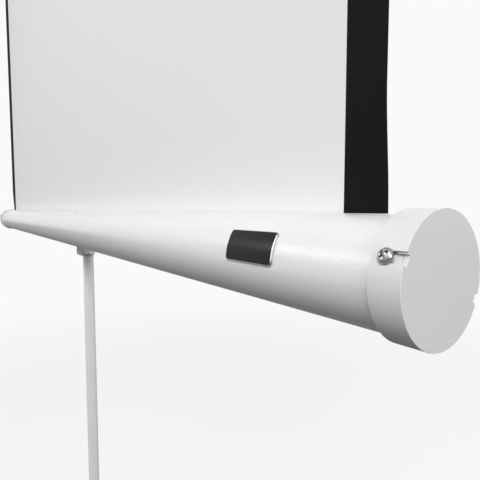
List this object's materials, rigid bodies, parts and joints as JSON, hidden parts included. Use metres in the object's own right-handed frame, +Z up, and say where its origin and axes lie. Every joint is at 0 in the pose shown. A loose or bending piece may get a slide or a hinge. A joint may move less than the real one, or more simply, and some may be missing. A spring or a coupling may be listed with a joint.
{
  "type": "tripod projector screen",
  "caption": "Pull-up projector screen: a white case with a spring roller, matte sheet with black borders, telescopic pole with hook arm and a folding tripod.",
  "frame": {"origin": "centre of the bounding box's footprint, on the floor under the feet", "axes": "+Z up along the pole, X along the case with the end seen near in the picture at +X, the viewing side of the sheet faces -Y and the pole stands behind it"},
  "size_m": [1.668, 0.7248, 2.7476],
  "materials": {
    "case_paint": "white powder coat, semi-gloss with a fine orange peel",
    "cap_paint": "pale grey paint, satin",
    "bare_badge": "dark domed plate with a bright rim, bare",
    "chrome": "bright plated",
    "zinc_steel": "zinc plated, satin",
    "pole_paint": "white paint, satin",
    "grey_plastic": "light grey, fine grain, satin",
    "black_plastic": "fine grain, matt",
    "rubber": "matt",
    "aluminium": "drawn tube, satin",
    "screen_white": "matt white viewing surface",
    "screen_black": "matt black masking border, fine weave"
  },
  "bodies": {
    "stand": {"outer_pole": "pole_paint", "pole_plug": "black_plastic", "base_hub": "grey_plastic", "hub_pin_1": "zinc_steel", "hub_pin_2": "zinc_steel", "hub_pin_3": "zinc_steel", "mast_clamp": "grey_plastic", "clamp_bolt": "zinc_steel"},
    "brace_1": {"brace_1": "zinc_steel"},
    "brace_2": {"brace_2": "zinc_steel"},
    "brace_3": {"brace_3": "zinc_steel"},
    "leg_1": {"leg_1": "pole_paint", "foot_1": "rubber", "knee_pin_1": "zinc_steel"},
    "leg_2": {"leg_2": "pole_paint", "foot_2": "rubber", "knee_pin_2": "zinc_steel"},
    "leg_3": {"leg_3": "pole_paint", "foot_3": "rubber", "knee_pin_3": "zinc_steel"},
    "collar": {"leg_collar": "grey_plastic", "collar_pin_1": "zinc_steel", "collar_pin_2": "zinc_steel", "collar_pin_3": "zinc_steel"},
    "collar_knob": {"collar_knob": "black_plastic"},
    "mast": {"mast": "aluminium", "mast_bush": "black_plastic", "mast_head": "grey_plastic", "arm_pin": "zinc_steel"},
    "arm": {"hook_arm": "zinc_steel"},
    "clamp_lever": {"clamp_lever": "black_plastic"},
    "carriage": {"carriage": "grey_plastic", "stop_pin": "zinc_steel"},
    "carriage_knob": {"carriage_knob": "black_plastic"},
    "case": {"case_tube": "case_paint", "saddle": "grey_plastic", "pivot_bolt": "zinc_steel", "pivot_nut": "zinc_steel", "badge_plate": "bare_badge", "end_cap_right": "cap_paint", "end_cap_left": "cap_paint", "roller_bracket_right": "zinc_steel", "roller_bracket_left": "zinc_steel", "cap_screw_right_front": "chrome", "cap_screw_right_back": "chrome", "cap_screw_left_front": "chrome", "cap_screw_left_back": "chrome", "spring_arbor": "zinc_steel", "roller_spring": "zinc_steel", "screen_sheet": "screen_white", "screen_border": "screen_black"},
    "roller": {"roller_tube": "aluminium", "wound_sheet": "screen_white", "idler_plug": "black_plastic", "spring_plug": "black_plastic"},
    "screen_bar": {"top_bar": "case_paint", "bar_cap_right": "black_plastic", "bar_cap_left": "black_plastic", "bail_bracket": "zinc_steel"},
    "bail": {"bail": "chrome"}
  },
  "joints": [
    {"name": "tripod_fold", "type": "hinge", "parent": "stand", "child": "brace_1", "pos_m": [0, -0.09104, 0.04], "axis": [-1, 0, 0], "range_deg": [-64, 0]},
    {"name": "brace_2_fold", "type": "hinge", "parent": "stand", "child": "brace_2", "pos_m": [-0.02079, -0.12704, 0.04], "axis": [0.5, -0.866, 0], "range_deg": [-64, 0]},
    {"name": "brace_3_fold", "type": "hinge", "parent": "stand", "child": "brace_3", "pos_m": [0.02079, -0.12704, 0.04], "axis": [0.5, 0.866, 0], "range_deg": [-64, 0]},
    {"name": "leg_1_knee", "type": "hinge", "parent": "brace_1", "child": "leg_1", "pos_m": [0, 0.09321, 0.12987], "axis": [-1, 0, 0], "range_deg": [0, 128]},
    {"name": "leg_2_knee", "type": "hinge", "parent": "brace_2", "child": "leg_2", "pos_m": [-0.18035, -0.21917, 0.12987], "axis": [0.5, -0.866, 0], "range_deg": [0, 128]},
    {"name": "leg_3_knee", "type": "hinge", "parent": "brace_3", "child": "leg_3", "pos_m": [0.18035, -0.21917, 0.12987], "axis": [0.5, 0.866, 0], "range_deg": [0, 128]},
    {"name": "collar_ride", "type": "hinge", "parent": "leg_1", "child": "collar", "pos_m": [0, -0.09104, 0.21973], "axis": [-1, 0, 0], "range_deg": [-64, 0]},
    {"name": "collar_knob_turn", "type": "hinge", "parent": "collar", "child": "collar_knob", "pos_m": [0.02165, -0.10254, 0.21973], "axis": [0.866, 0.5, 0], "range_deg": [0, 180]},
    {"name": "mast_slide", "type": "slide", "parent": "stand", "child": "mast", "axis": [0, 0, 1], "range_m": [-1.15, 0]},
    {"name": "arm_fold", "type": "hinge", "parent": "mast", "child": "arm", "pos_m": [0, -0.13004, 2.73964], "axis": [-1, 0, 0], "range_deg": [-90, 0]},
    {"name": "clamp_lever_turn", "type": "hinge", "parent": "stand", "child": "clamp_lever", "pos_m": [0.0138, -0.09104, 1.345], "axis": [0, 0, 1], "range_deg": [-110, 0]},
    {"name": "carriage_slide", "type": "slide", "parent": "stand", "child": "carriage", "axis": [0, 0, 1], "range_m": [-0.235, 0.2]},
    {"name": "carriage_knob_turn", "type": "hinge", "parent": "carriage", "child": "carriage_knob", "pos_m": [0, -0.09, 1.07], "axis": [0, 1, 0], "range_deg": [0, 180]},
    {"name": "case_pivot", "type": "hinge", "parent": "carriage", "child": "case", "pos_m": [0, -0.16974, 1.07], "axis": [0, -1, 0], "range_deg": [-90, 0]},
    {"name": "screen_pull", "type": "slide", "parent": "case", "child": "screen_bar", "axis": [0, 0, 1], "range_m": [-1.555, 0], "deforming": ["screen_sheet", "screen_border"]},
    {"name": "roller_spin", "type": "hinge", "parent": "case", "child": "roller", "pos_m": [0, -0.17349, 1.07], "axis": [1, 0, 0], "range_deg": [-5700, 0]},
    {"name": "bail_swing", "type": "hinge", "parent": "screen_bar", "child": "bail", "pos_m": [0, -0.16034, 2.682], "axis": [-1, 0, 0], "range_deg": [-90, 0]}
  ],
  "couplings": [
    {"joint": "brace_2_fold", "follows": "tripod_fold", "ratio": 1},
    {"joint": "brace_3_fold", "follows": "tripod_fold", "ratio": 1},
    {"joint": "leg_1_knee", "follows": "tripod_fold", "ratio": -2},
    {"joint": "leg_2_knee", "follows": "tripod_fold", "ratio": -2},
    {"joint": "leg_3_knee", "follows": "tripod_fold", "ratio": -2},
    {"joint": "collar_ride", "follows": "tripod_fold", "ratio": 1},
    {"joint": "roller_spin", "follows": "screen_pull", "rad_per_m": 63.7}
  ]
}
